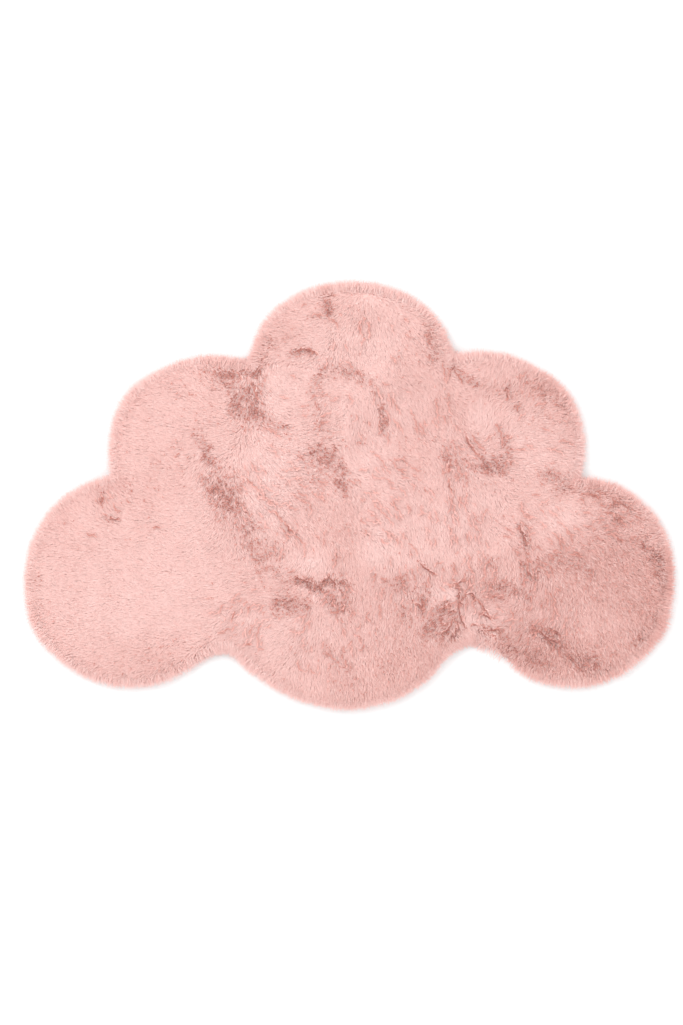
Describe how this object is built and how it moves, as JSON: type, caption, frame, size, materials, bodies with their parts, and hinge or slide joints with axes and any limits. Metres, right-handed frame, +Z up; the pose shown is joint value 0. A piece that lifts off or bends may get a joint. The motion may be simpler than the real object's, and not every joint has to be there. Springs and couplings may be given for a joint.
{
  "type": "cloud shaped faux fur kids rug",
  "caption": "Flat cloud shaped rug of long soft faux rabbit fur for a child's room, cut from pile cloth to lie on the floor.",
  "frame": {"origin": "on the floor under the middle of the rug's box", "axes": "+X along the longest side, +Y across it away from the single bottom lobe, +Z up out of the pile"},
  "size_m": [0.9, 0.5954, 0.0232],
  "materials": {
    "fur": "long soft matt faux fur, rose pink"
  },
  "bodies": {
    "root": {"fur_rug": "fur"}
  },
  "joints": []
}
